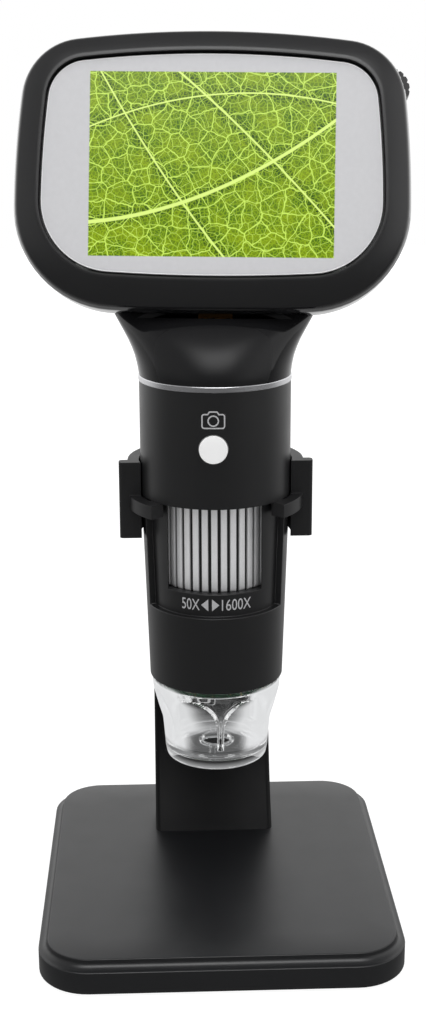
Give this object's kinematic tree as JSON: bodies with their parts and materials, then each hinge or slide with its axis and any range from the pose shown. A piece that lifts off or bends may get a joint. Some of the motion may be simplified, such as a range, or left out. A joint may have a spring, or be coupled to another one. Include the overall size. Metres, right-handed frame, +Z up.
{
  "type": "lcd digital microscope",
  "caption": "Handheld digital microscope with a wide tilted screen on a round barrel, ribbed focus wheel and clear cap, held in a C-shaped clip on a table stand.",
  "frame": {"origin": "centre of the base on the plane of its feet", "axes": "+Z up, +Y to the back where the arm stands, the screen and the button face -Y, +X to the right seen from the front"},
  "size_m": [0.0902, 0.0946, 0.2125],
  "materials": {
    "black_plastic": "fine satin moulded ABS, charcoal black",
    "base_finish": "satin black moulded ABS, slightly lighter than the barrel",
    "gloss_black": "satin to semi-gloss black moulded ABS",
    "rubber": "matt black rubber",
    "screw_steel": "zinc plated",
    "steel": "bare zinc-plated sheet",
    "trim_metal": "polished silver trim",
    "wheel_metal": "silver, vertically ribbed, fine matt grain",
    "optics_metal": "black anodised",
    "lens_glass": "coated optical glass",
    "clear_plastic": "clear polished acrylic",
    "white_button": "satin white",
    "key_rubber": "matt black silicone keys",
    "dial_black": "matt black, toothed edge",
    "window_print": "silver-printed acrylic, clear over the picture",
    "lcd_metal": "display module",
    "board_green": "green solder mask",
    "component_black": "moulded component black",
    "led_white": "white LED",
    "battery_foil": "silver pouch cell",
    "socket_metal": "nickel-plated sheet",
    "flex_film": "amber polyimide film"
  },
  "bodies": {
    "stand": {"base_plate": "base_finish", "base_bottom_cover": "base_finish", "base_screws": "screw_steel", "ballast_plate": "steel", "rubber_feet": "rubber", "support_arm": "black_plastic", "arm_rear_cover": "black_plastic", "arm_foot_screws": "screw_steel", "clip_screws": "screw_steel", "holder_clip": "black_plastic"},
    "microscope": {"lower_barrel": "black_plastic", "upper_barrel": "black_plastic", "trim_ring": "trim_metal", "optics_tube": "optics_metal", "wheel_retainer": "optics_metal", "sensor_board": "board_green", "image_sensor": "component_black", "led_board": "board_green", "leds": "led_white", "button_switch": "component_black", "button_board": "board_green", "rear_housing": "black_plastic", "flex_cable": "flex_film", "screen_bezel": "gloss_black", "screen_window": "window_print", "lcd_panel": "lcd_metal", "main_board": "board_green", "battery_pack": "battery_foil", "key_board": "board_green", "dial_potentiometer": "component_black", "usb_socket": "socket_metal", "card_socket": "socket_metal", "housing_screws": "screw_steel"},
    "focus_wheel": {"focus_wheel": "wheel_metal"},
    "lens_carriage": {"lens_carriage": "optics_metal", "objective_lens": "lens_glass"},
    "clear_cap": {"clear_cap": "clear_plastic"},
    "shutter_button": {"shutter_button": "white_button"},
    "brightness_dial": {"brightness_dial": "dial_black"},
    "power_button": {"power_button": "key_rubber"},
    "menu_button": {"menu_button": "key_rubber"},
    "playback_button": {"playback_button": "key_rubber"}
  },
  "joints": [
    {"name": "microscope_lift", "type": "slide", "parent": "stand", "child": "microscope", "axis": [0, 0, 1], "range_m": [0, 0.075]},
    {"name": "focus_turn", "type": "hinge", "parent": "microscope", "child": "focus_wheel", "pos_m": [0, -0.0035, 0.0985], "axis": [0, 0, 1], "range_deg": [-135, 135]},
    {"name": "lens_slide", "type": "slide", "parent": "microscope", "child": "lens_carriage", "axis": [0, 0, 1], "range_m": [-0.0051, 0.0051]},
    {"name": "cap_pull", "type": "slide", "parent": "microscope", "child": "clear_cap", "axis": [0, 0, -1], "range_m": [0, 0.02]},
    {"name": "shutter_press", "type": "slide", "parent": "microscope", "child": "shutter_button", "axis": [0.061, 0.9981, 0], "range_m": [0, 0.0005], "stiffness_N_per_m": 800, "springref_m": -0.0003},
    {"name": "brightness_turn", "type": "hinge", "parent": "microscope", "child": "brightness_dial", "pos_m": [0.03985, 0.00554, 0.19921], "axis": [-0.059, -0.9641, 0.2588], "range_deg": [-135, 135]},
    {"name": "power_press", "type": "slide", "parent": "microscope", "child": "power_button", "axis": [-0.059, -0.9641, 0.2588], "range_m": [0, 0.0004], "stiffness_N_per_m": 700, "springref_m": -0.0003},
    {"name": "menu_press", "type": "slide", "parent": "microscope", "child": "menu_button", "axis": [-0.059, -0.9641, 0.2588], "range_m": [0, 0.0004], "stiffness_N_per_m": 700, "springref_m": -0.0003},
    {"name": "playback_press", "type": "slide", "parent": "microscope", "child": "playback_button", "axis": [-0.059, -0.9641, 0.2588], "range_m": [0, 0.0004], "stiffness_N_per_m": 700, "springref_m": -0.0003}
  ],
  "couplings": [
    {"joint": "lens_slide", "follows": "focus_turn", "m_per_rad": 0.0021221}
  ]
}
